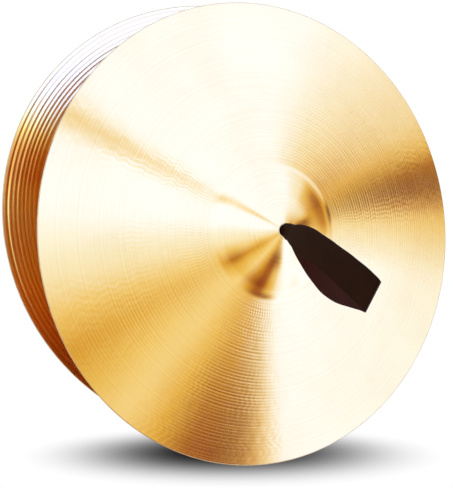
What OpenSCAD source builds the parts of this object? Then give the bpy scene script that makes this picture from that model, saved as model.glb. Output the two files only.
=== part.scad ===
// Pair of orchestral hand cymbals, each with a leather hand strap.
// Frame: +Z up, front cymbal upright with its bell towards -Y.
// Origin: centre of the front cymbal's hole, on the outer face of its bell.
// The rear cymbal faces it, a little open, as a player holds the pair.

/* [Cymbal] */
// Diameter of each cymbal
cymbal_d = 508; // [500:1:520]
// Height of the whole dome, rim plane to top of bell
dome_h = 44; // [42:0.5:48]
// Height of the bell above its own base
bell_h = 22; // [20:0.5:24]
// Radius of the bell at its base
bell_r = 68; // [62:1:72]
// Diameter of the hole that the strap passes through
hole_d = 12.7; // [12.4:0.1:14]
// Thickness at the rim
edge_t = 0.9; // [0.8:0.05:1.2]
// Thickness at the foot of the bell
bow_t = 1.15; // [1:0.05:1.5]
// Thickness at the hole
bell_t = 1.8; // [1.5:0.05:2.2]

/* [Pair] */
// How far the pair stands open at rest, degrees
open_angle = 11.6; // [8:0.1:20]
// Direction of the spot where the rims meet, degrees from +X towards +Z
meet_dir = -43; // [-50:1:-35]
// Distance from the front cymbal's axis to the line the pair opens about
meet_r = 262; // [260:1:268]
// Gap between the rims when the pair is closed
closed_gap = 1.6; // [1.2:0.1:4]
// Sideways slip of the rear cymbal, which lets the air out
slip_x = -19.3; // [-24:0.1:-14]
// Upward slip of the rear cymbal
slip_z = 28.6; // [24:0.1:32]

/* [Strap] */
// Length of the grip loop, hole to fold
grip_len = 124; // [110:1:135]
// Width of the grip at its fold
grip_w = 36.5; // [32:0.5:40]
// Thickness of the leather
leather_t = 2.4; // [2:0.1:2.6]
// Half of the room between the two legs of the loop
loop_half = 7.5; // [6:0.5:12]
// How far the second leg bows below the first
loop_bow = 17.5; // [0:0.5:20]
// How far the first leg arches above the straight line
loop_lift = 7.2; // [0:0.2:8]
// Sideways skew of the fold
fold_skew = 3.5; // [0:0.5:5]
// Width of one thong
thong_w = 5.1; // [4:0.1:5.2]
// Length of a cut end beyond the knot
tail_len = 30; // [20:1:34]
// Side of the woven knot
knot_w = 24; // [20:0.5:25]

/* [Strap at rest] */
// Front strap: direction it leans towards, in the cymbal's own plane
front_dir = -60; // [-90:1:-30]
// Front strap: lean away from the cymbal's axis
front_lean = 39; // [20:1:55]
// Front strap: turn about its own length
front_roll = -34; // [-60:1:0]
// Rear strap: direction it leans towards
rear_dir = -82; // [-100:1:-70]
// Rear strap: lean away from the cymbal's axis
rear_lean = 47; // [20:1:55]
// Rear strap: turn about its own length
rear_roll = -24; // [-60:1:40]

/* [Hidden] */

R = cymbal_d / 2;
bow_h = dome_h - bell_h;
bronze = [0.83, 0.62, 0.27];
leather = [0.13, 0.08, 0.07];
pivot_h = 5;      // the strap bends this far above the bell
ball_r = 5.2;     // end of the bundled thongs, round about the bend
neck_gap = 0.5;   // room between that end and the grip

// ---- cymbal section: height of the outer face at radius r ----
// Bow: a gentle slope near the bell that steepens towards the rim.
bow_a = 0.07;
bow_b = (bow_h - bow_a * (R - bell_r)) / pow(R - bell_r, 2);
function bow_z(r) = bow_h - bow_a * (r - bell_r) - bow_b * pow(r - bell_r, 2);
function bow_s(r) = -bow_a - 2 * bow_b * (r - bell_r);
// Bell: a spherical cap.
bell_R = (bell_r * bell_r + bell_h * bell_h) / (2 * bell_h);
function bell_z(r) = dome_h - bell_R + sqrt(bell_R * bell_R - r * r);
function bell_s(r) = -r / sqrt(bell_R * bell_R - r * r);
// A smooth curve joins the two over this stretch.
j0 = bell_r - 8;
j1 = bell_r + 8;
function join_z(r) = let (t = (r - j0) / (j1 - j0))
    (2*t*t*t - 3*t*t + 1) * bell_z(j0) + (t*t*t - 2*t*t + t) * (j1 - j0) * bell_s(j0)
  + (3*t*t - 2*t*t*t) * bow_z(j1) + (t*t*t - t*t) * (j1 - j0) * bow_s(j1);
function face_z(r) = r < j0 ? bell_z(r) : r > j1 ? bow_z(r) : join_z(r);
function lerp(a, b, t) = a + (b - a) * t;
function wall(r) = r < bell_r ? lerp(bell_t, bow_t, r / bell_r)
                              : lerp(bow_t, edge_t, (r - bell_r) / (R - bell_r));
function steep(r) = (face_z(r + 0.05) - face_z(r - 0.05)) / 0.1;
function wall_z(r) = wall(r) * sqrt(1 + pow(steep(r), 2));

hole_r = hole_d / 2;
rim_in = R - 0.6;
radii = concat([for (i = [0:8]) lerp(hole_r, j0, i / 8)],
               [for (i = [1:5]) lerp(j0, j1, i / 5)],
               [for (i = [1:12]) lerp(j1, rim_in, i / 12)]);

// The bell faces +Z here, with the hole's outer edge at the origin.
module cymbal_blank() {
    outer = [for (r = radii) [r, face_z(r) - dome_h]];
    inner = [for (i = [len(radii) - 1 : -1 : 0]) let (r = radii[i]) [r, face_z(r) - wall_z(r) - dome_h]];
    mid = bow_z(R) - wall_z(rim_in) / 2 - dome_h;
    rotate_extrude($fn = 180) polygon(concat(outer, [[R, mid + 0.2], [R, mid - 0.2]], inner));
}

// ---- strap ----
// Sets a strap leaning in a given direction; its length runs along +Z here.
module lean(dir, tilt, roll)
    translate([0, 0, pivot_h]) rotate([0, 0, dir]) rotate([0, tilt, 0]) rotate([0, 0, roll]) children();

// Half the leather's width, q from 0 at the hole to 1 at the fold.
function half_w(q) = let (a = 1 - min(1, q / 0.3)) 8 + (grip_w / 2 - 11.05) * (1 - pow(a, 2.6)) + 3.05 * q;
// Half the distance between the middles of the two legs.
function half_gap(q) = 1.5 + 0.7 * q + loop_half * pow(sin(180 * pow(q, 0.9)), 0.9);
// How far the second leg bows.
function bow_off(q) = loop_bow * pow(sin(180 * pow(q, 1.1)), 1.2) + fold_skew * q;
// How far the first leg arches the other way.
function lift_off(q) = loop_lift * pow(sin(180 * pow(q, 0.9)), 0.8);

legs_n = 18;
fold_n = 6;
z0 = 4.4;
fold_r = half_gap(1);
leg_l = grip_len - z0 - fold_r;
// Each station: [y, z, half width, sideways shift]
stations = concat(
    [for (i = [0:legs_n]) let (q = i / legs_n) [-half_gap(q), z0 + q * leg_l, half_w(q), -lift_off(q)]],
    [for (i = [1:fold_n - 1]) let (a = 180 * i / fold_n)
        [-fold_r * cos(a), z0 + leg_l + fold_r * sin(a), half_w(1), fold_skew * (1 - cos(a)) / 2]],
    [for (i = [legs_n:-1:0]) let (q = i / legs_n) [half_gap(q), z0 + q * leg_l, half_w(q), bow_off(q)]]);
ns = len(stations);
function st_dir(i) = let (a = stations[max(0, i - 1)], b = stations[min(ns - 1, i + 1)],
    d = [b[0] - a[0], b[1] - a[1]]) d / norm(d);
function ring(i) = let (s = stations[i], d = st_dir(i), n = [-d[1], d[0]] * leather_t / 2)
    [[s[3] + s[2], s[0] + n[0], s[1] + n[1]], [s[3] - s[2], s[0] + n[0], s[1] + n[1]],
     [s[3] - s[2], s[0] - n[0], s[1] - n[1]], [s[3] + s[2], s[0] - n[0], s[1] - n[1]]];

// One band of leather, from the hole round the fold and back.
module grip_band() {
    pts = [for (i = [0:ns - 1]) each ring(i)];
    sides = [for (i = [0:ns - 2], k = [0:3])
        [i*4 + k, i*4 + (k + 1) % 4, (i + 1)*4 + (k + 1) % 4, (i + 1)*4 + k]];
    polyhedron(pts, concat([[3, 2, 1, 0]], sides, [[for (k = [0:3]) (ns - 1)*4 + k]]), convexity = 6);
}

module grip() color(leather) difference() {
    grip_band();
    sphere(r = ball_r + neck_gap, $fn = 40);
}

// Four thongs side by side through the hole, drawn together where the strap bends.
module thongs() color(leather * 0.85) {
    for (sx = [-1, 1], sy = [-1, 1])
        translate([sx * (thong_w / 2 + 0.05), sy * (leather_t / 2 + 0.05), 0])
            translate([-thong_w / 2, -leather_t / 2, -2.9]) cube([thong_w, leather_t, 3.3]);
    translate([0, 0, pivot_h]) rotate_extrude($fn = 48)
        polygon(concat([[0, ball_r * sin(-62)]], [for (a = [-62:8:58]) ball_r * [cos(a), sin(a)]], [[0, ball_r * sin(58)]]));
}

// Square knot: four thongs woven over and under, with their cut ends.
module knot() color(leather * 0.7) {
    p = knot_w / 4;
    translate([0, 0, -2.95]) {
        for (k = [0:3]) rotate([0, 0, 90 * k]) {
            // flat turn that goes over its neighbour
            translate([-knot_w / 2 + 1, p / 2 - 0.2, -7.4]) cube([knot_w - 3.5, p + 0.4, 2.5]);
            // the bend down the side
            translate([-knot_w / 2 - 0.2, p / 2 - 0.2, -7.0]) cube([2.6, p + 0.4, 6.2]);
            // the return under the knot
            translate([-knot_w / 2 + 1, p / 2 - 0.2, -2.7]) cube([knot_w - 6, p + 0.4, 2.0]);
            // cut end, rising off the bell's inside
            translate([knot_w / 2 - 4, p / 2 - thong_w / 2 + 0.1, -4.6]) rotate([0, 13, 0])
                cube([tail_len, thong_w, leather_t]);
        }
        translate([-knot_w / 2 + 2, -knot_w / 2 + 2, -5.2]) cube([knot_w - 4, knot_w - 4, 4.4]);
    }
}

// ---- placing ----
module at_front() rotate([90, 0, 0]) children();
open_axis = [sin(-meet_dir), 0, cos(meet_dir)];
open_at = [meet_r * cos(meet_dir), dome_h, meet_r * sin(meet_dir)];
module at_rear()
    translate(open_at) rotate(a = -open_angle, v = open_axis) translate(-open_at)
        translate([slip_x, 2 * dome_h + closed_gap, slip_z]) rotate([90, 0, 180]) children();

module front_cymbal() at_front() color(bronze) cymbal_blank();
module front_strap_grip() at_front() lean(front_dir, front_lean, front_roll) grip();
module front_strap_thongs() at_front() rotate([0, 0, front_dir + front_roll]) thongs();
module front_strap_knot() at_front() rotate([0, 0, front_dir + front_roll]) knot();
module rear_cymbal() at_rear() color(bronze * 0.94) cymbal_blank();
module rear_strap_grip() at_rear() lean(rear_dir, rear_lean, rear_roll) grip();
module rear_strap_thongs() at_rear() rotate([0, 0, rear_dir + rear_roll]) thongs();
module rear_strap_knot() at_rear() rotate([0, 0, rear_dir + rear_roll]) knot();

front_cymbal();
front_strap_grip();
front_strap_thongs();
front_strap_knot();
rear_cymbal();
rear_strap_grip();
rear_strap_thongs();
rear_strap_knot();
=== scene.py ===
import bpy, math
import numpy as np
from mathutils import Vector, Matrix


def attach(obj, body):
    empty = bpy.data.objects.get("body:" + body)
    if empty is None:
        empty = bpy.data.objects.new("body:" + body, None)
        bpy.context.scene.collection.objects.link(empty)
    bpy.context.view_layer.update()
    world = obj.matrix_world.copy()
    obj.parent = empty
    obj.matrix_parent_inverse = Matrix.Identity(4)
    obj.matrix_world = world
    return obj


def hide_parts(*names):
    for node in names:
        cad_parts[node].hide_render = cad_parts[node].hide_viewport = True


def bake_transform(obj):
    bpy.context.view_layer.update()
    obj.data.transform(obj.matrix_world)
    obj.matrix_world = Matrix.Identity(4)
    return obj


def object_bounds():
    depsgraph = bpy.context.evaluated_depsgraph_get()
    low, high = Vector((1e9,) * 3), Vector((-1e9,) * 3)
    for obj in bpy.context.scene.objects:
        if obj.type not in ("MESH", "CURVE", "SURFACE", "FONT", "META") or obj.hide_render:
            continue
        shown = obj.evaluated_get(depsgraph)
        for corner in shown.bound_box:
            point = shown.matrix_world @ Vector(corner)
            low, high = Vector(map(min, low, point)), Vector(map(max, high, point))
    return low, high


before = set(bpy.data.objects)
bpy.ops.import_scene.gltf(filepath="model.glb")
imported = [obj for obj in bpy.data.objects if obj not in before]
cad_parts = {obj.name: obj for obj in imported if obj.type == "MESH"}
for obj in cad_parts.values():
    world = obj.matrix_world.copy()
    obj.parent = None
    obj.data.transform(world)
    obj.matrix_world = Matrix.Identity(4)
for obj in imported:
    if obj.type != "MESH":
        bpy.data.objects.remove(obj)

cad_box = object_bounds()
scene = bpy.context.scene
scene.view_settings.view_transform = "Standard"
scene.view_settings.look = "None"

# ------------------------------------------------------------------ sizes, as in the CAD source (mm)
R, DOME, BELL_H, BELL_R, HOLE_R = 254.0, 44.0, 22.0, 68.0, 6.35
EDGE_T, BOW_T, BELL_T = 0.9, 1.15, 1.8
OPEN, MEET_DIR, MEET_R, GAP, SLIP_X, SLIP_Z = 11.6, -43.0, 262.0, 1.6, -19.3, 28.6
FRONT_DIR, FRONT_LEAN, FRONT_ROLL = -60.0, 39.0, -34.0
REAR_DIR, REAR_LEAN, REAR_ROLL = -82.0, 47.0, -24.0
GRIP_LEN, GRIP_W, LEATHER_T, LOOP_HALF, PIVOT_H = 124.0, 36.5, 2.4, 7.5, 5.0
LOOP_BOW, LOOP_LIFT, FOLD_SKEW = 17.5, 7.2, 3.5
MM = 0.001


def rot(axis, deg):
    return Matrix.Rotation(math.radians(deg), 4, Vector(axis))


FRONT = rot((1, 0, 0), 90)
_p = Vector((MEET_R * math.cos(math.radians(MEET_DIR)), DOME, MEET_R * math.sin(math.radians(MEET_DIR))))
_ax = Vector((math.sin(math.radians(-MEET_DIR)), 0, math.cos(math.radians(MEET_DIR))))
REAR = (Matrix.Translation(_p) @ rot(_ax, -OPEN) @ Matrix.Translation(-_p)
        @ Matrix.Translation((SLIP_X, 2 * DOME + GAP, SLIP_Z)) @ rot((0, 0, 1), 180) @ rot((1, 0, 0), 90))


def metres(m):
    """The same placing with its translation in metres, for a mesh whose points are in metres."""
    m = m.copy()
    m.translation = m.translation * MM
    return m


# ------------------------------------------------------------------ camera
FPX = 900.0
yaw, pitch = math.radians(26.6), math.radians(1.9)
n_c = Vector((math.sin(yaw) * math.cos(pitch), math.sin(pitch), math.cos(yaw) * math.cos(pitch)))
u_c = Vector((0, 1, 0)).cross(n_c).normalized()
w_c = n_c.cross(u_c)
C_c = Vector((42.1, 12.9, -992.2))           # front rim's centre as the camera sees it, mm


def from_cam(v):
    """A direction in camera axes, turned into the object's axes."""
    return Vector((v.dot(u_c), -v.dot(n_c), v.dot(w_c)))


cam_pos = (Vector((0, DOME, 0)) - from_cam(C_c)) * MM
cx, cy, cz = from_cam(Vector((1, 0, 0))), from_cam(Vector((0, 1, 0))), from_cam(Vector((0, 0, 1)))
cam_data = bpy.data.cameras.new("camera")
cam_data.sensor_width = 36.0
cam_data.lens = FPX * 36.0 / 488.0
cam_data.clip_start = 0.02
cam_data.clip_end = 50
cam = bpy.data.objects.new("camera", cam_data)
scene.collection.objects.link(cam)
cam.matrix_world = Matrix(((cx.x, cy.x, cz.x, cam_pos.x), (cx.y, cy.y, cz.y, cam_pos.y),
                           (cx.z, cy.z, cz.z, cam_pos.z), (0, 0, 0, 1)))
scene.camera = cam


# ------------------------------------------------------------------ node helpers
class Nodes:
    def __init__(self, tree):
        self.t = tree

    def put(self, kind, **kw):
        n = self.t.nodes.new(kind)
        for k, v in kw.items():
            setattr(n, k, v)
        return n

    def link(self, a, b):
        self.t.links.new(a, b)

    def feed(self, sock, v):
        if v is None:
            return
        if hasattr(v, "links"):
            self.link(v, sock)
        else:
            sock.default_value = v

    def m(self, op, a, b=None, c=None, clamp=False):
        n = self.put("ShaderNodeMath", operation=op, use_clamp=clamp)
        for k, v in enumerate((a, b, c)):
            self.feed(n.inputs[k], v)
        return n.outputs[0]

    def vm(self, op, a, b=None, scale=None):
        n = self.put("ShaderNodeVectorMath", operation=op)
        self.feed(n.inputs[0], a)
        self.feed(n.inputs[1], b)
        if scale is not None:
            self.feed(n.inputs["Scale"], scale)
        return n.outputs["Value"] if op in ("DOT_PRODUCT", "LENGTH", "DISTANCE") else n.outputs[0]

    def sep(self, v):
        n = self.put("ShaderNodeSeparateXYZ")
        self.link(v, n.inputs[0])
        return n.outputs

    def comb(self, x, y, z):
        n = self.put("ShaderNodeCombineXYZ")
        for k, v in enumerate((x, y, z)):
            self.feed(n.inputs[k], v)
        return n.outputs[0]

    def noise(self, vec, scale, detail=2.0, rough=0.5, dist=0.0, dim="3D", w=None):
        n = self.put("ShaderNodeTexNoise", noise_dimensions=dim)
        if dim == "1D":
            self.feed(n.inputs["W"], w)
        elif vec is not None:
            self.link(vec, n.inputs["Vector"])
        self.feed(n.inputs["Scale"], scale)
        self.feed(n.inputs["Detail"], detail)
        self.feed(n.inputs["Roughness"], rough)
        self.feed(n.inputs["Distortion"], dist)
        return n.outputs["Fac"]

    def ramp(self, fac, stops, interp="LINEAR"):
        n = self.put("ShaderNodeValToRGB")
        n.color_ramp.interpolation = interp
        e = n.color_ramp.elements
        while len(e) > 1:
            e.remove(e[-1])
        for k, (p, c) in enumerate(stops):
            c = tuple(c) + (1,) if len(c) == 3 else c
            if k == 0:
                e[0].position, e[0].color = p, c
            else:
                e.new(p).color = c
        self.link(fac, n.inputs[0])
        return n.outputs[0]

    def remap(self, v, a, b, c, d, interp="LINEAR"):
        n = self.put("ShaderNodeMapRange", interpolation_type=interp)
        for k, x in enumerate((v, a, b, c, d)):
            self.feed(n.inputs[k], x)
        return n.outputs[0]

    def mix(self, f, a, b, blend="MIX"):
        n = self.put("ShaderNodeMix", data_type="RGBA", blend_type=blend)
        self.feed(n.inputs[0], f)
        for s, v in ((n.inputs[6], a), (n.inputs[7], b)):
            if isinstance(v, tuple) and len(v) == 3:
                v = v + (1,)
            self.feed(s, v)
        return n.outputs[2]


def material(name):
    m = bpy.data.materials.new(name)
    m.use_nodes = True
    k = Nodes(m.node_tree)
    return m, k, m.node_tree.nodes["Principled BSDF"]


# ------------------------------------------------------------------ bronze
BRONZE = (0.88, 0.59, 0.22)


def bronze(name, seed, rough=0.2, aniso=1.0, groove=1.0, painted_inside_shading=0.0, painted_light_and_shade=None):
    m, k, b = material(name)
    tc = k.put("ShaderNodeTexCoord")
    o = tc.outputs["Object"]
    x, y, z = k.sep(o)
    r = k.m("SQRT", k.m("ADD", k.m("MULTIPLY", x, x), k.m("MULTIPLY", y, y)))
    ang = k.m("ARCTAN2", y, x)
    # broad tone differences, ring by ring and in soft clouds
    rings = k.noise(None, 420.0, 3.0, 0.7, dim="1D", w=k.m("ADD", r, seed))
    cloud = k.noise(k.vm("ADD", o, (seed, 0, 0)), 9.0, 3.0, 0.55)
    tone = k.m("ADD", k.m("MULTIPLY", rings, 0.4), k.m("MULTIPLY", cloud, 0.6))
    # painted light: the insides get a redder, more saturated bronze than the alloy, standing in for light bounced
    # between the dished faces
    tint = (1 + 0.12 * painted_inside_shading, 1 - 0.05 * painted_inside_shading, 1 - 0.38 * painted_inside_shading)
    lo = tuple(c * (0.95, 0.92, 0.86)[i] * tint[i] for i, c in enumerate(BRONZE))
    mi = tuple(c * tint[i] for i, c in enumerate(BRONZE))
    hi = tuple(c * (1.04, 1.06, 1.10)[i] * tint[i] for i, c in enumerate(BRONZE))
    col = k.ramp(tone, [(0.3, lo), (0.5, mi), (0.7, hi)])
    if painted_light_and_shade:
        # painted light and shade: the base colour changes round the disc, paler for a painted reflection and darker for
        # painted shade
        side = k.ramp(k.remap(ang, -math.pi / 3, math.pi / 3, 0.0, 1.0), [((a + 60) / 120.0, c) for a, c in painted_light_and_shade])
        col = k.mix(0.8, col, side)
    if painted_inside_shading:
        # painted shade: darker, redder rings at the inside groove pitch, standing in for the shade of the grooves
        wave = k.m("SINE", k.m("ADD", k.m("MULTIPLY", r, 2 * math.pi / 0.0046), k.m("MULTIPLY", k.noise(None, 90.0, 1.0, 0.5, dim="1D", w=k.m("ADD", r, seed)), 2.5)))
        col = k.mix(k.remap(wave, -0.6, 0.9, 0.0, 0.5 * painted_inside_shading, "SMOOTHSTEP"), col, k.vm("MULTIPLY", col, (0.7, 0.4, 0.28)))
    # faint brown handling marks
    spot = k.noise(k.vm("ADD", o, (0, seed, 3)), 60.0, 5.0, 0.7)
    col = k.mix(k.m("MULTIPLY", k.remap(spot, 0.66, 0.78, 0.0, 1.0), 0.25), col, tuple(c * f for c, f in zip(BRONZE, (0.7, 0.55, 0.4))))
    k.link(col, b.inputs["Base Color"])
    # the painted light and shade also tint the reflection
    if painted_light_and_shade:
        k.link(col, b.inputs["Specular Tint"])
    b.inputs["Metallic"].default_value = 1.0
    b.inputs["Anisotropic"].default_value = aniso
    b.inputs["Anisotropic Rotation"].default_value = 0.25
    tan = k.put("ShaderNodeTangent", direction_type="RADIAL", axis="Z")
    k.link(tan.outputs[0], b.inputs["Tangent"])
    ro = k.m("ADD", rough, k.m("MULTIPLY", k.m("SUBTRACT", rings, 0.5), 0.06))
    ro = k.m("ADD", ro, k.m("MULTIPLY", k.m("SUBTRACT", spot, 0.5), 0.04))
    k.link(ro, b.inputs["Roughness"])
    # lathe grooves too fine for the mesh, and shallow hammer marks
    w1 = k.m("SINE", k.m("ADD", k.m("MULTIPLY", r, 2 * math.pi / 0.00118), k.m("MULTIPLY", cloud, 3.0)))
    g1 = k.m("MULTIPLY", w1, 0.0000045 * groove)
    vor = k.put("ShaderNodeTexVoronoi", feature="SMOOTH_F1")
    k.link(o, vor.inputs["Vector"])
    vor.inputs["Scale"].default_value = 70.0
    vor.inputs["Smoothness"].default_value = 0.6
    vor.inputs["Randomness"].default_value = 0.75
    ham = k.remap(vor.outputs["Distance"], 0.0, 0.55, 0.0, 1.0, "SMOOTHSTEP")
    bowmask = k.remap(r, 0.070, 0.085, 0.0, 1.0, "SMOOTHSTEP")
    h = k.m("ADD", g1, k.m("MULTIPLY", k.m("MULTIPLY", ham, bowmask), 0.00002))
    # rows of small hammer dimples along the grooves, in patches
    slow = k.noise(None, 60.0, 1.0, 0.5, dim="1D", w=k.m("ADD", r, seed))
    row = k.m("SINE", k.m("ADD", k.m("MULTIPLY", ang, 190.0), k.m("MULTIPLY", slow, 14.0)))
    patch = k.remap(k.noise(k.vm("ADD", o, (seed, 2, 0)), 22.0, 2.0, 0.5), 0.42, 0.62, 0.15, 1.0, "SMOOTHSTEP")
    h = k.m("ADD", h, k.m("MULTIPLY", k.m("MULTIPLY", row, k.m("MULTIPLY", patch, bowmask)), 0.000005))
    h = k.m("ADD", h, k.m("MULTIPLY", k.noise(o, 28.0, 2.0, 0.5), 0.00004))
    bp = k.put("ShaderNodeBump")
    bp.inputs["Strength"].default_value = 1.0
    bp.inputs["Distance"].default_value = 1.0
    k.link(h, bp.inputs["Height"])
    k.link(bp.outputs[0], b.inputs["Normal"])
    return m


# ------------------------------------------------------------------ cymbal mesh
BOW_H = DOME - BELL_H
BOW_A = 0.07
BOW_B = (BOW_H - BOW_A * (R - BELL_R)) / (R - BELL_R) ** 2
BELL_S = (BELL_R ** 2 + BELL_H ** 2) / (2 * BELL_H)
J0, J1 = BELL_R - 8, BELL_R + 8


def face_z(r):
    r = np.asarray(r, float)
    bow = BOW_H - BOW_A * (r - BELL_R) - BOW_B * (r - BELL_R) ** 2
    bell = DOME - BELL_S + np.sqrt(np.maximum(BELL_S ** 2 - r ** 2, 0))

    def bz(q): return DOME - BELL_S + math.sqrt(BELL_S ** 2 - q * q)
    def bs(q): return -q / math.sqrt(BELL_S ** 2 - q * q)
    def wz(q): return BOW_H - BOW_A * (q - BELL_R) - BOW_B * (q - BELL_R) ** 2
    def ws(q): return -BOW_A - 2 * BOW_B * (q - BELL_R)
    t = (r - J0) / (J1 - J0)
    join = ((2 * t**3 - 3 * t**2 + 1) * bz(J0) + (t**3 - 2 * t**2 + t) * (J1 - J0) * bs(J0)
            + (3 * t**2 - 2 * t**3) * wz(J1) + (t**3 - t**2) * (J1 - J0) * ws(J1))
    return np.where(r < J0, bell, np.where(r > J1, bow, join))


def wall(r):
    r = np.asarray(r, float)
    t = np.where(r < BELL_R, BELL_T + (BOW_T - BELL_T) * r / BELL_R, BOW_T + (EDGE_T - BOW_T) * (r - BELL_R) / (R - BELL_R))
    s = (face_z(r + 0.05) - face_z(r - 0.05)) / 0.1
    return t * np.sqrt(1 + s * s)


def grooves(r, pitch, depth, rng, lo, hi):
    """Turned bands: each a little different in width and depth, as a hand-held lathe tool leaves them."""
    edges = [lo]
    while edges[-1] < hi:
        edges.append(edges[-1] + pitch * (0.86 + 0.28 * rng.random()))
    edges = np.array(edges)
    d = depth * (0.6 + 0.8 * rng.random(len(edges)))
    i = np.clip(np.searchsorted(edges, r) - 1, 0, len(edges) - 2)
    t = (r - edges[i]) / (edges[i + 1] - edges[i])
    out = -d[i] * np.sin(np.pi * t) ** 2
    return np.where((r > lo) & (r < hi), out, 0.0)


# painted light and shade on the rear inside: degrees round the disc and the tone painted there, pale where it stands in
# for a bright reflection, dark red-brown where it stands in for shade
PAINTED_LIGHT_AND_SHADE = [(-38, (0.55, 0.22, 0.03)), (-28, (0.80, 0.35, 0.05)), (-20, (0.97, 0.55, 0.08)), (-13, (1.0, 0.72, 0.14)), (1, (1.0, 0.70, 0.14)),
          (7, (0.96, 0.50, 0.06)), (11, (0.82, 0.28, 0.02)), (18, (0.84, 0.30, 0.02)), (23, (0.98, 0.58, 0.08)), (28, (1.0, 0.80, 0.28)),
          (35, (1.0, 0.89, 0.50))]


def cymbal(name, seed, place, body, node, outside, inside):
    rng = np.random.default_rng(seed)
    n = 320
    ro = np.concatenate([np.linspace(HOLE_R + 0.4, 60, 60), np.linspace(60, 76, 26)[1:], np.linspace(76, R - 0.45, 330)[1:]])
    ri = np.concatenate([np.linspace(HOLE_R + 0.4, 60, 40), np.linspace(60, 76, 18)[1:], np.linspace(76, R - 0.45, 250)[1:]])
    zo = face_z(ro) - DOME + grooves(ro, 3.4, 0.055, rng, 78, 251) + grooves(ro, 2.6, 0.03, rng, 14, 60)
    zi = face_z(ri) - wall(ri) - DOME - grooves(ri, 4.5, 0.16, rng, 80, 250.5) - grooves(ri, 3.2, 0.05, rng, 16, 60)
    # rounded hole edge and rim
    mid = (zo[-1] + zi[-1]) / 2
    half = (zo[-1] - zi[-1]) / 2
    rim = [(R - 0.45 + 0.45 * math.sin(a), mid + half * math.cos(a)) for a in np.linspace(0, math.pi, 9)[1:-1]]
    hm = (zo[0] + zi[0]) / 2
    hh = (zo[0] - zi[0]) / 2
    lip = [(HOLE_R + 0.4 - 0.4 * math.sin(a) ** 0.6, hm - hh * math.cos(a)) for a in np.linspace(0, math.pi, 9)[1:-1]]
    prof = list(zip(ro, zo)) + rim + list(zip(ri[::-1], zi[::-1])) + lip
    prof = np.array(prof)
    m = len(prof)
    a = np.arange(n) * 2 * math.pi / n
    # the bow isn't perfectly true: a slight slow waviness left by the hammer
    ca, sa = np.cos(a), np.sin(a)
    v = np.empty((n, m, 3))
    v[:, :, 0] = np.outer(ca, prof[:, 0])
    v[:, :, 1] = np.outer(sa, prof[:, 0])
    v[:, :, 2] = prof[:, 1][None, :]
    fade = np.clip((prof[:, 0] - 80) / 60, 0, 1) * np.clip((R - prof[:, 0]) / 30, 0, 1)
    wav = np.zeros((n, m))
    for q in range(7):
        f, ph, fr = rng.integers(3, 15), rng.random() * 6.28, 0.02 + 0.05 * rng.random()
        wav += np.outer(np.cos(f * a + ph), np.sin(prof[:, 0] * fr + rng.random() * 6.28)) / f
    v[:, :, 2] += 0.045 * wav * fade[None, :]
    v = v.reshape(-1, 3) * MM
    j, i = np.meshgrid(np.arange(n), np.arange(m), indexing="ij")
    j2, i2 = (j + 1) % n, (i + 1) % m
    f = np.stack([j * m + i, j * m + i2, j2 * m + i2, j2 * m + i], -1).reshape(-1, 4)
    me = bpy.data.meshes.new(name)
    me.vertices.add(len(v))
    me.vertices.foreach_set("co", v.ravel())
    me.loops.add(f.size)
    me.loops.foreach_set("vertex_index", f.ravel())
    me.polygons.add(len(f))
    me.polygons.foreach_set("loop_start", np.arange(0, f.size, 4))
    me.polygons.foreach_set("use_smooth", np.ones(len(f), bool))
    k_in = len(ro) + 4                                             # the inside starts half way round the rim
    pick = np.where((i >= k_in) & (i < m - 4), 1, 0)
    pick = np.where(((i >= len(ro) - 2) & (i < len(ro) + 8)) | (i >= m - 8) | (i == 0), 2, pick)
    me.polygons.foreach_set("material_index", pick.astype(np.int32).ravel())
    me.update()
    me.validate()
    ob = bpy.data.objects.new(name, me)
    scene.collection.objects.link(ob)
    me.materials.append(outside)
    me.materials.append(inside)
    me.materials.append(m_rim)
    ob.matrix_world = metres(place)
    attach(ob, body)
    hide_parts(node)
    return ob


def rim_bronze():
    """The turned edge: duller, and painted darker than the faces, a painted shade that draws a thin dark line round the
    rim and the hole.
    """
    m, k, b = material("bronze_rim")
    o = k.put("ShaderNodeTexCoord").outputs["Object"]
    col = k.ramp(k.noise(o, 120.0, 3.0, 0.6), [(0.35, (0.56, 0.375, 0.135)), (0.65, (0.70, 0.47, 0.17))])
    k.link(col, b.inputs["Base Color"])
    b.inputs["Metallic"].default_value = 1.0
    k.link(k.remap(k.noise(o, 300.0, 2.0, 0.5), 0.3, 0.7, 0.3, 0.45), b.inputs["Roughness"])
    return m


m_rim = rim_bronze()
# the insides carry painted light and shade: a redder bronze and darker groove rings, and on the rear inside a tone
# painted round the disc
cymbal("front_cymbal_disc", 11, FRONT, "front_cymbal", "front_cymbal",
       bronze("bronze_front_outside", 0.0, 0.14), bronze("bronze_front_inside", 1.9, 0.42, 0.7, 1.0, 1.0))
cymbal("rear_cymbal_disc", 23, REAR, "rear_cymbal", "rear_cymbal",
       bronze("bronze_rear_outside", 3.7, 0.14), bronze("bronze_rear_inside", 5.3, 0.15, 0.8, 1.0, 1.0, PAINTED_LIGHT_AND_SHADE))

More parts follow.
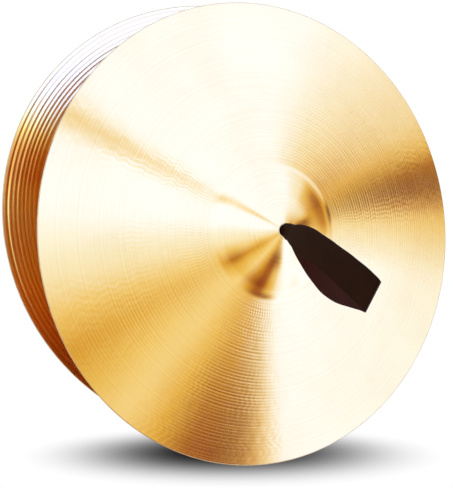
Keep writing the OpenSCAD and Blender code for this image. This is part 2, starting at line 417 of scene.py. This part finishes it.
# ------------------------------------------------------------------ leather
def leather(name, dark, light, rough, grain, fuzz=0.0, seed=0.0, sheen=0.0):
    m, k, b = material(name)
    o = k.put("ShaderNodeTexCoord").outputs["Object"]
    o = k.vm("ADD", o, (seed, seed * 0.7, 0))
    big = k.noise(o, 45.0, 4.0, 0.6)
    fine = k.noise(o, 900.0, 3.0, 0.6)
    v = k.put("ShaderNodeTexVoronoi", feature="DISTANCE_TO_EDGE")
    warp = k.vm("ADD", o, k.vm("SCALE", k.put("ShaderNodeTexNoise").outputs["Color"], None, 0.0006))
    k.link(warp, v.inputs["Vector"])
    v.inputs["Scale"].default_value = 850.0
    pore = k.remap(v.outputs["Distance"], 0.0, 0.25, 0.0, 1.0, "SMOOTHSTEP")
    f = k.m("ADD", k.m("MULTIPLY", big, 0.7), k.m("MULTIPLY", fine, 0.3))
    col = k.ramp(f, [(0.32, dark), (0.68, light)])
    if grain:
        col = k.mix(k.m("MULTIPLY", k.m("SUBTRACT", 1.0, pore), 0.45), col, tuple(c * 0.4 for c in dark))
    k.link(col, b.inputs["Base Color"])
    k.link(k.m("ADD", rough, k.m("MULTIPLY", k.m("SUBTRACT", big, 0.5), 0.25)), b.inputs["Roughness"])
    b.inputs["Specular IOR Level"].default_value = 0.13
    b.inputs["Specular Tint"].default_value = (1.0, 0.45, 0.13, 1)
    b.inputs["Sheen Weight"].default_value = sheen
    h = k.m("MULTIPLY", pore, grain)
    h = k.m("ADD", h, k.m("MULTIPLY", fine, fuzz))
    h = k.m("ADD", h, k.m("MULTIPLY", big, 0.00035))
    bp = k.put("ShaderNodeBump")
    bp.inputs["Strength"].default_value = 1.0
    bp.inputs["Distance"].default_value = 1.0
    k.link(h, bp.inputs["Height"])
    k.link(bp.outputs[0], b.inputs["Normal"])
    return m


m_grain = leather("strap_leather_grain", (0.009, 0.0030, 0.0015), (0.021, 0.0075, 0.0038), 0.46, 0.00005)
m_flesh = leather("strap_leather_flesh", (0.024, 0.0042, 0.0030), (0.060, 0.012, 0.008), 0.85, 0.0, 0.00025, 1.3, 0.15)
m_edge = leather("strap_leather_edge", (0.006, 0.0028, 0.002), (0.014, 0.007, 0.0045), 0.6, 0.0, 0.00012, 2.1)
m_thong = leather("thong_leather", (0.010, 0.0045, 0.003), (0.026, 0.012, 0.008), 0.5, 0.00004, 0.00004, 4.4)


def unit(v):
    return v / np.maximum(np.linalg.norm(v, axis=-1, keepdims=True), 1e-12)


def ribbon(name, P, W, hw, th, across=14, corner=0.7, dish=None, mats=(), flip=False, square=True):
    """A strip of leather along points P, with width direction W, half width hw and thickness th (mm)."""
    P, W = np.asarray(P, float), unit(np.asarray(W, float))
    hw = np.broadcast_to(np.asarray(hw, float), (len(P),))
    th = np.broadcast_to(np.asarray(th, float), (len(P),))
    T = unit(np.gradient(P, axis=0))
    if square:
        W = unit(W - T * (W * T).sum(1, keepdims=True))
    N = unit(np.cross(T, W)) * (1 if not flip else -1)       # N points at the outer face
    rings, tags = [], None
    for i in range(len(P)):
        c = min(corner, th[i] * 0.48, hw[i] * 0.48)
        a, half = hw[i], th[i] / 2
        pts, tg = [], []
        for q in np.linspace(-1, 1, across):
            pts.append(((a - c) * q, half)); tg.append(0)
        for t in np.linspace(0, math.pi / 2, 5)[1:]:
            pts.append((a - c + c * math.sin(t), half - c + c * math.cos(t))); tg.append(2)
        for t in np.linspace(0, math.pi / 2, 5)[:-1]:
            pts.append((a - c + c * math.cos(t), -(half - c) - c * math.sin(t))); tg.append(2)
        for q in np.linspace(1, -1, across):
            pts.append(((a - c) * q, -half)); tg.append(1)
        for t in np.linspace(0, math.pi / 2, 5)[1:]:
            pts.append((-(a - c) - c * math.sin(t), -(half - c) - c * math.cos(t))); tg.append(2)
        for t in np.linspace(0, math.pi / 2, 5)[:-1]:
            pts.append((-(a - c) - c * math.cos(t), (half - c) + c * math.sin(t))); tg.append(2)
        pts = np.array(pts)
        d = 0.0 if dish is None else dish[i] * (pts[:, 0] / max(a, 1e-6)) ** 2
        rings.append(P[i] + pts[:, :1] * W[i] + (pts[:, 1:] + np.reshape(d, (-1, 1)) if dish is not None else pts[:, 1:]) * N[i])
        tags = tg
    m = len(tags)
    V = np.concatenate(rings)
    F, M = [], []
    for i in range(len(P) - 1):
        for j in range(m):
            j2 = (j + 1) % m
            f = (i * m + j, i * m + j2, (i + 1) * m + j2, (i + 1) * m + j)
            F.append(f if flip else f[::-1])
            M.append(tags[j] if tags[j] == tags[j2] else 2)
    # closed ends, drawn in a little so that the cut edge is soft
    for base, rev in ((0, False), ((len(P) - 1) * m, True)):
        ring = V[base:base + m]
        c = ring.mean(0)
        t = T[0] * -1 if base == 0 else T[-1]
        k = base // m
        inner = c + (ring - c) * (1 - 0.5 / max(hw[k], 1)) + t * 0.35
        s0 = len(V)
        V = np.concatenate([V, inner, [inner.mean(0)]])
        cen = len(V) - 1
        for j in range(m):
            j2 = (j + 1) % m
            q = (base + j, s0 + j, s0 + j2, base + j2)
            tri = (s0 + j, cen, s0 + j2)
            if rev != flip:
                q, tri = q[::-1], tri[::-1]
            F += [q[::-1], tri[::-1]]
            M += [2, 2]
    me = bpy.data.meshes.new(name)
    me.from_pydata([tuple(v) for v in V * MM], [], F)
    me.polygons.foreach_set("material_index", M)
    me.polygons.foreach_set("use_smooth", [True] * len(F))
    me.update()
    ob = bpy.data.objects.new(name, me)
    scene.collection.objects.link(ob)
    for mt in mats:
        me.materials.append(mt)
    return ob


def half_w(q):
    a = 1 - np.minimum(1, q / 0.3)
    return 8 + (GRIP_W / 2 - 11.05) * (1 - a ** 2.6) + 3.05 * q


def half_gap(q):
    return 1.5 + 0.7 * q + LOOP_HALF * np.maximum(np.sin(math.pi * q ** 0.9), 0) ** 0.9


def bow_off(q):
    return LOOP_BOW * np.maximum(np.sin(math.pi * q ** 1.1), 0) ** 1.2 + FOLD_SKEW * q


def lift_off(q):
    return LOOP_LIFT * np.maximum(np.sin(math.pi * q ** 0.9), 0) ** 0.8


def lean_frame(dir_, tilt, roll):
    return (rot((0, 0, 1), dir_) @ rot((0, 1, 0), tilt) @ rot((0, 0, 1), roll)).to_3x3()


def strap(tag, place, dir_, tilt, roll, seed):
    """One strap: a wide band that leaves the hole, folds over and comes back, and the knot inside the bell."""
    rng = np.random.default_rng(seed)
    L = np.array(lean_frame(dir_, tilt, roll))
    z0 = 4.4
    fold_r = float(half_gap(1.0))
    leg = GRIP_LEN - z0 - fold_r
    q = np.concatenate([np.linspace(0.02, 0.3, 26)[:-1], np.linspace(0.3, 1.0, 60)])
    front = np.stack([-lift_off(q), -half_gap(q), z0 + q * leg], 1)
    back = np.stack([bow_off(q), half_gap(q), z0 + q * leg], 1)[::-1]
    a = np.linspace(0, math.pi, 17)[1:-1]
    tip = np.stack([FOLD_SKEW * (1 - np.cos(a)) / 2, -fold_r * np.cos(a), z0 + leg + fold_r * np.sin(a)], 1)
    loc = np.concatenate([front, tip, back])
    hw = np.concatenate([half_w(q), np.full(len(a), half_w(1.0)), half_w(q)[::-1]])
    pv = np.array([0, 0, PIVOT_H])
    P = loc @ L.T + pv
    W = np.tile(L[:, 0], (len(P), 1))
    # the neck: both legs bend over the hole's edge and go down into it
    d = L[:, 2]
    s = np.linspace(0, 1, 12)[:-1]
    cen = np.outer((1 - s) ** 2, [0, 0, 0.0]) + np.outer(2 * s * (1 - s), pv) + np.outer(s ** 2, pv + d * 5.0)
    low = np.array([[0, 0, -1.6], [0, 0, -0.8]])
    cen = np.concatenate([low, cen])
    tl = np.concatenate([[0, 0], tilt * (3 * s ** 2 - 2 * s ** 3)])
    fr = [np.array(lean_frame(dir_, t, roll)) for t in tl]
    grow = np.concatenate([[0, 0], s])
    def neck(side):
        y = (1.3 + 0.25 * grow) * side
        return np.array([c + f[:, 1] * yy for c, f, yy in zip(cen, fr, y)])
    nw = np.concatenate([[5.3, 5.8], 6.4 + 2.9 * s ** 0.6])
    Wn = np.array([f[:, 0] for f in fr])
    P = np.concatenate([neck(-1), P, neck(1)[::-1]])
    W = np.concatenate([Wn, W, Wn[::-1]])
    hw = np.concatenate([nw, hw, nw[::-1]])
    # worn leather: the edges wander a little and the legs cup
    n = len(P)
    t = np.arange(n)
    hw = hw + 0.22 * np.sin(t * 0.11 + rng.random() * 6) * np.clip((hw - 6) / 8, 0, 1) + 0.12 * np.sin(t * 0.37 + 1) * np.clip((hw - 6) / 8, 0, 1)
    mid = np.exp(-((t - n / 2) / (n * 0.10)) ** 2)
    dish = -0.9 * np.clip((hw - 8) / 9, 0, 1) * (1 - mid)
    band = ribbon(tag + "_strap_band", P, W, hw, LEATHER_T, across=16, dish=dish, mats=(m_grain, m_flesh, m_edge), flip=True, square=False)
    band.visible_glossy = False
    band.matrix_world = metres(place)
    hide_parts(tag + "_strap_grip")
    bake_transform(band)
    # thongs and knot, in the frame of the hole
    K = np.array(rot((0, 0, 1), dir_ + roll).to_3x3())
    for i in range(4):
        Rk = K @ np.array(rot((0, 0, 1), 90 * i).to_3x3())
        ln = 26 + 5 * rng.random()
        up = 7.2 + 2.0 * rng.random()
        sw = (rng.random() - 0.5) * 4
        ctrl = np.array([(2.0, 1.9, 0.3), (2.0, 1.9, -1.6), (1.0, 2.4, -3.6), (-3.5, 3.0, -4.7), (-8.6, 3.0, -5.0), (-11.2, 3.0, -6.6),
                         (-10.6, 3.0, -9.3), (-7.2, 3.0, -10.6), (-3.0, 3.0, -11.0), (0.2, 3.0, -10.0), (3.0, 3.0, -8.4), (7.0, 3.0, -7.9),
                         (12.0, 3.1, -8.2), (12 + ln * 0.35, 3.1 + sw * 0.2, -8.2 - up * 0.35), (12 + ln * 0.7, 3.1 + sw * 0.6, -8.2 - up * 0.75),
                         (12 + ln, 3.1 + sw, -8.2 - up)])
        P2 = catmull(ctrl, 9)
        u = np.linspace(0, 1, len(P2))
        T = unit(np.gradient(P2, axis=0))
        Wd = np.tile([0.0, 1.0, 0.0], (len(P2), 1))
        wd = np.interp(u, [0, 0.12, 0.24, 0.9, 1.0], [1.9, 2.0, 2.7, 2.65, 2.3])
        tk = np.interp(u, [0, 0.12, 0.24, 1.0], [2.6, 2.5, 2.25, 2.2])
        ob = ribbon(tag + "_strap_thong_%d" % (i + 1), P2 @ Rk.T, Wd @ Rk.T, wd, tk, across=7, corner=0.55,
                    mats=(m_thong, m_flesh, m_edge), flip=False)
        ob.matrix_world = metres(place)
        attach(ob, tag + "_strap_tie")
        if i == 0:
            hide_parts(tag + "_strap_thongs", tag + "_strap_knot")


def catmull(c, n):
    c = np.asarray(c, float)
    c = np.concatenate([[2 * c[0] - c[1]], c, [2 * c[-1] - c[-2]]])
    out = []
    for i in range(1, len(c) - 2):
        p0, p1, p2, p3 = c[i - 1:i + 3]
        for t in np.arange(n) / n:
            out.append(0.5 * (2 * p1 + (p2 - p0) * t + (2 * p0 - 5 * p1 + 4 * p2 - p3) * t * t + (3 * p1 - p0 - 3 * p2 + p3) * t ** 3))
    out.append(c[-2])
    return np.array(out)


strap("front", FRONT, FRONT_DIR, FRONT_LEAN, FRONT_ROLL, 5)
strap("rear", REAR, REAR_DIR, REAR_LEAN, REAR_ROLL, 9)

# ------------------------------------------------------------------ studio
lo = Vector([min(c[i] for c in cad_box) for i in range(3)]) if not isinstance(cad_box, dict) else Vector(cad_box["lo"])
floor_z = -R * MM - 0.0004
me = bpy.data.meshes.new("floor")
S = 14.0
me.from_pydata([(-S, -S, floor_z), (S, -S, floor_z), (S, S, floor_z), (-S, S, floor_z)], [], [(0, 1, 2, 3)])
floor = bpy.data.objects.new("floor", me)
scene.collection.objects.link(floor)
m, k, b = material("studio_floor")
# a white sweep that glows evenly, with a painted shadow: a soft grey patch under the pair, set by position on the
# floor, not cast by the overhead lights
tc = k.put("ShaderNodeTexCoord")
X, Y, Z = k.sep(tc.outputs["Object"])
du, dv = k.m("ADD", X, 0.006), k.m("SUBTRACT", Y, 0.127)
turn_c, turn_s = math.cos(-0.6), math.sin(-0.6)
ea = k.m("MULTIPLY", k.m("ADD", k.m("MULTIPLY", du, turn_c), k.m("MULTIPLY", dv, turn_s)), 1 / 0.176)
eb = k.m("MULTIPLY", k.m("SUBTRACT", k.m("MULTIPLY", dv, turn_c), k.m("MULTIPLY", du, turn_s)), 1 / 0.126)
d2 = k.m("ADD", k.m("MULTIPLY", ea, ea), k.m("MULTIPLY", eb, eb))
# painted shadow: the glow drops to grey inside a soft ellipse under the pair
white = k.m("MULTIPLY", k.m("SUBTRACT", 1.0, k.m("POWER", math.e, k.m("MULTIPLY", k.m("POWER", d2, 1.77), -1.0))), 1.04)
b.inputs["Base Color"].default_value = (0.0, 0.0, 0.0, 1)
b.inputs["Specular IOR Level"].default_value = 0.0
b.inputs["Roughness"].default_value = 0.9
b.inputs["Emission Strength"].default_value = 1.0
k.link(k.mix(white, (0, 0, 0, 1), (1, 1, 1, 1)), b.inputs["Emission Color"])
me.materials.append(m)
floor.visible_glossy = False

world = bpy.data.worlds.new("studio")
scene.world = world
world.use_nodes = True
world.cycles.sampling_method = "NONE"
k = Nodes(world.node_tree)
bg = world.node_tree.nodes["Background"]
tc = k.put("ShaderNodeTexCoord")
way = tc.outputs["Generated"]
X, Y, Z = k.sep(way)


def lin(c):
    c = c / 255.0
    return c / 12.92 if c <= 0.04045 else ((c + 0.055) / 1.055) ** 2.4


# studio light, named by the tone that it gives the bronze: pale panels, gold flags and brown gaps between them
TONES = {"white": (254, 249, 238, 1.06), "pearl": (252, 240, 204, 1.0), "cream": (251, 230, 178, 1.0), "straw": (247, 212, 132, 1.0),
         "gold": (238, 190, 84, 1.0), "honey": (230, 172, 60, 1.0), "amber": (219, 153, 38, 1.0), "ochre": (200, 124, 30, 1.0),
         "brown": (174, 94, 28, 1.0), "rust": (146, 66, 26, 1.0), "dark": (122, 44, 18, 1.0)}


def light(tone):
    c = TONES[tone]
    return tuple(lin(c[i]) * c[3] / BRONZE[i] for i in range(3))


def fan(fac, stops):
    return k.ramp(fac, [(a / 360.0, light(t)) for a, t in stops])


def round_about(mx, mz, sign):
    """Angle round a direction (as a share of a turn) and degrees away from it, in the half of the studio where sign*Y > 0."""
    u, w = k.m("SUBTRACT", X, mx), k.m("SUBTRACT", Z, mz)
    turn = k.m("FRACT", k.m("ADD", k.m("DIVIDE", k.m("ARCTAN2", w, u), 2 * math.pi), 1.0))
    d = k.vm("DOT_PRODUCT", k.vm("NORMALIZE", way), (mx, sign * math.sqrt(1 - mx * mx - mz * mz), mz))
    off = k.m("MULTIPLY", k.m("ARCCOSINE", k.m("MINIMUM", d, 1.0)), 180 / math.pi)
    return turn, off


turn, off = round_about(0.485, 0.042, -1)
near = fan(turn, [(0, "cream"), (12, "straw"), (22, "gold"), (32, "honey"), (40, "ochre"), (48, "amber"), (58, "gold"), (70, "straw"),
                  (80, "pearl"), (88, "white"), (145, "white"), (148, "pearl"), (150, "straw"), (152, "pearl"), (155, "white"),
                  (172, "white"), (181, "pearl"), (191, "cream"), (201, "straw"), (211, "gold"), (221, "straw"), (231, "straw"),
                  (241, "gold"), (250, "honey"), (256, "gold"), (261, "cream"), (265, "pearl"), (270, "white"), (340, "white"),
                  (350, "pearl"), (360, "cream")])
mid = fan(turn, [(0, "cream"), (7, "straw"), (12, "amber"), (15, "rust"), (18, "dark"), (25, "dark"), (29, "brown"), (33, "honey"),
                 (40, "straw"), (52, "cream"), (66, "pearl"), (84, "white"), (145, "white"), (148, "cream"), (150, "gold"),
                 (152, "cream"), (155, "white"), (175, "white"), (183, "pearl"), (191, "cream"), (200, "straw"), (210, "gold"),
                 (229, "straw"), (241, "gold"), (251, "amber"), (258, "amber"), (263, "gold"), (267, "cream"), (271, "white"),
                 (340, "white"), (350, "pearl"), (360, "cream")])
far = fan(turn, [(0, "gold"), (5, "honey"), (9, "brown"), (13, "dark"), (19, "dark"), (23, "brown"), (27, "gold"), (31, "straw"),
                 (38, "cream"), (80, "white"), (144, "white"), (148, "cream"), (150, "gold"), (152, "cream"), (156, "white"),
                 (174, "white"), (184, "pearl"), (192, "cream"), (201, "gold"), (210, "amber"), (220, "gold"), (230, "straw"),
                 (239, "honey"), (248, "rust"), (257, "dark"), (262, "rust"), (266, "amber"), (269, "straw"), (273, "white"),
                 (325, "pearl"), (345, "cream"), (360, "gold")])
bell = fan(turn, [(0, "honey"), (8, "ochre"), (20, "brown"), (30, "rust"), (41, "brown"), (50, "honey"), (59, "cream"), (68, "pearl"),
                  (80, "white"), (142, "white"), (149, "cream"), (156, "white"), (172, "white"), (182, "pearl"), (191, "cream"),
                  (200, "gold"), (210, "brown"), (218, "honey"), (229, "gold"), (240, "brown"), (248, "dark"), (254, "rust"),
                  (260, "amber"), (265, "gold"), (269, "cream"), (278, "white"), (290, "pearl"), (300, "white"), (344, "white"),
                  (354, "straw"), (360, "honey")])
front_env = k.mix(k.remap(off, 13.0, 19.0, 0.0, 1.0, "SMOOTHSTEP"), near, mid)
front_env = k.mix(k.remap(off, 20.0, 27.0, 0.0, 1.0, "SMOOTHSTEP"), front_env, far)
dome = fan(turn, [(0, "straw"), (10, "gold"), (22, "honey"), (32, "amber"), (42, "honey"), (52, "gold"), (61, "cream"), (70, "pearl"),
                  (80, "white"), (144, "white"), (150, "straw"), (156, "white"), (172, "white"), (182, "pearl"), (191, "cream"),
                  (200, "straw"), (210, "amber"), (219, "gold"), (230, "straw"), (240, "amber"), (248, "brown"), (254, "brown"),
                  (260, "gold"), (265, "straw"), (269, "pearl"), (278, "white"), (344, "white"), (354, "cream"), (360, "straw")])
front_env = k.mix(k.remap(off, 34.0, 40.0, 0.0, 1.0, "SMOOTHSTEP"), front_env, dome)
front_env = k.mix(k.remap(off, 46.0, 60.0, 0.0, 1.0, "SMOOTHSTEP"), front_env, bell)
turn2, off2 = round_about(0.22, -0.12, 1)
back_env = fan(turn2, [(0, "gold"), (18, "brown"), (30, "gold"), (48, "white"), (110, "white"), (125, "straw"), (140, "amber"),
                       (150, "straw"), (170, "white"), (205, "pearl"), (222, "amber"), (238, "rust"), (250, "ochre"), (258, "cream"),
                       (268, "white"), (320, "white"), (342, "straw"), (360, "gold")])
back_env = k.mix(k.remap(Z, -0.9, 0.9, 0.55, 0.1), back_env, light("amber"))
env = k.mix(k.remap(Y, 0.0, 0.35, 0.0, 1.0, "SMOOTHSTEP"), front_env, back_env)
lp = k.put("ShaderNodeLightPath")
col = k.mix(lp.outputs["Is Diffuse Ray"], (1.05, 1.05, 1.05, 1), (0.05, 0.065, 0.045, 1))
col = k.mix(lp.outputs["Is Glossy Ray"], col, env)
k.link(col, bg.inputs[0])
bg.inputs[1].default_value = 1.0

for name, power, size, way_down in (("overhead_key", 1.9, 42, (0.16, 0.32, -1)), ("overhead_fill", 1.5, 95, (-0.05, 0.02, -1))):
    sun_data = bpy.data.lights.new(name, "SUN")
    sun_data.energy = power
    sun_data.angle = math.radians(size)
    sun = bpy.data.objects.new(name, sun_data)
    scene.collection.objects.link(sun)
    sun.rotation_mode = "QUATERNION"
    sun.rotation_quaternion = Vector(way_down).to_track_quat("-Z", "Y")
    sun.visible_glossy = False
    sun.visible_camera = False

# ------------------------------------------------------------------ done
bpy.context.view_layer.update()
